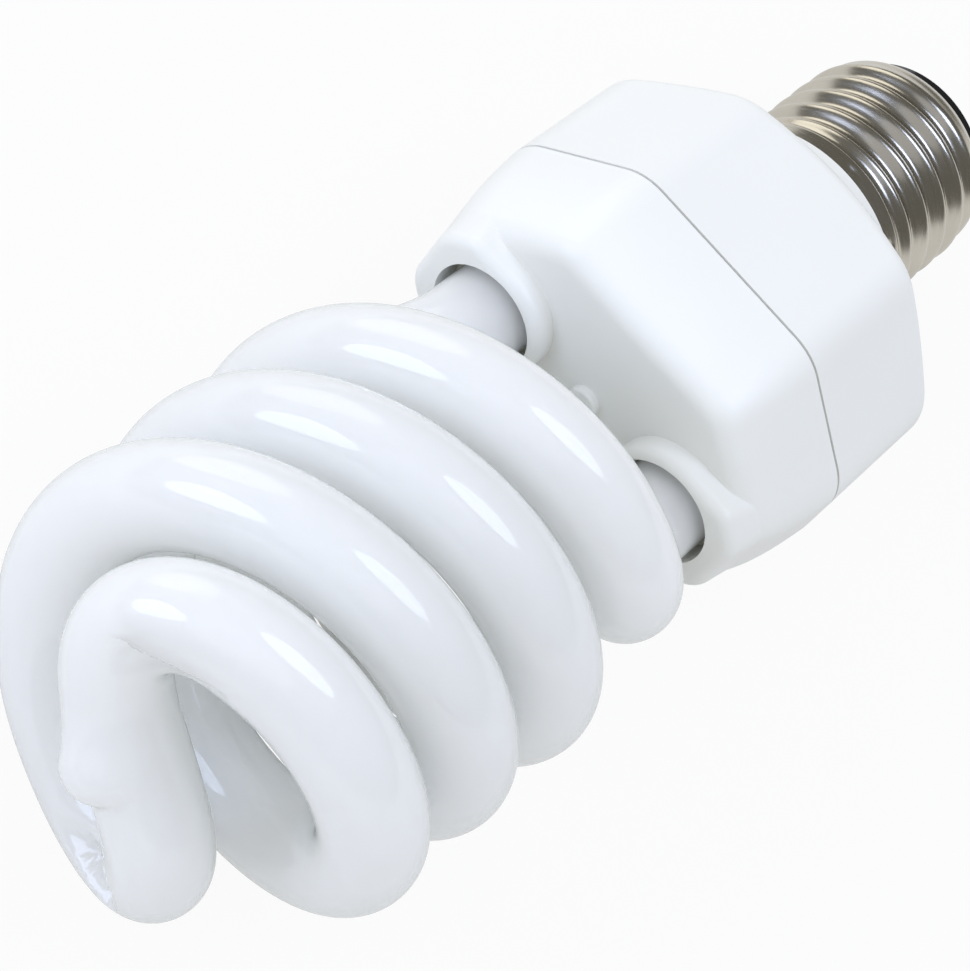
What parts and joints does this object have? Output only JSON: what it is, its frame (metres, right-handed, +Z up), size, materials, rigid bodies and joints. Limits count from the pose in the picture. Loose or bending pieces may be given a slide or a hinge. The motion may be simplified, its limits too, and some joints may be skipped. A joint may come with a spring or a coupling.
{
  "type": "compact fluorescent bulb",
  "caption": "Spiral compact fluorescent bulb with a white glass tube, an oblong white ballast housing and a 27 mm screw cap, lying on its side.",
  "frame": {"origin": "on the surface that the bulb lies on, below the middle of its lying length and width", "axes": "+Z up; +X level, from the screw cap towards the tip of the spiral, with the lamp's own axis rising 9.7 degrees from +X; +Y level, across the lamp"},
  "size_m": [0.1459, 0.0552, 0.0616],
  "materials": {
    "tube_glass": "glossy clear wall over white phosphor",
    "housing_plastic": "satin white",
    "cap_metal": "nickel plated",
    "cap_glass": "black fused glass",
    "contact_metal": "tinned",
    "board_laminate": "paper laminate",
    "ferrite": "sintered",
    "copper_wire": "enamelled copper",
    "bobbin_plastic": "natural nylon",
    "can_sleeve": "shrunk sleeve on an aluminium can",
    "dipped_resin": "dipped epoxy",
    "mould_resin": "moulded epoxy",
    "resistor_coat": "lacquered ceramic",
    "thermistor_coat": "dipped resin on a ceramic disc",
    "cement": "mineral cement",
    "lead_wire": "tinned wire",
    "lead_sleeve": "insulated wire"
  },
  "bodies": {
    "root": {"glass_tube": "tube_glass", "tube_carrier": "housing_plastic", "ballast_cover": "housing_plastic", "screw_shell": "cap_metal", "cap_insulator": "cap_glass", "centre_contact": "contact_metal", "circuit_board": "board_laminate", "choke_core": "ferrite", "choke_bobbin": "bobbin_plastic", "choke_winding": "copper_wire", "ring_core": "ferrite", "ring_windings": "copper_wire", "mains_capacitor": "can_sleeve", "film_capacitor_a": "dipped_resin", "film_capacitor_b": "dipped_resin", "transistor_a": "mould_resin", "transistor_b": "mould_resin", "rectifier_diodes": "mould_resin", "fuse_resistor": "resistor_coat", "thermistor": "thermistor_coat", "bias_resistors": "resistor_coat", "tube_leads": "lead_wire", "leg_cement": "cement", "contact_lead": "lead_sleeve", "shell_lead": "lead_sleeve"}
  },
  "joints": []
}
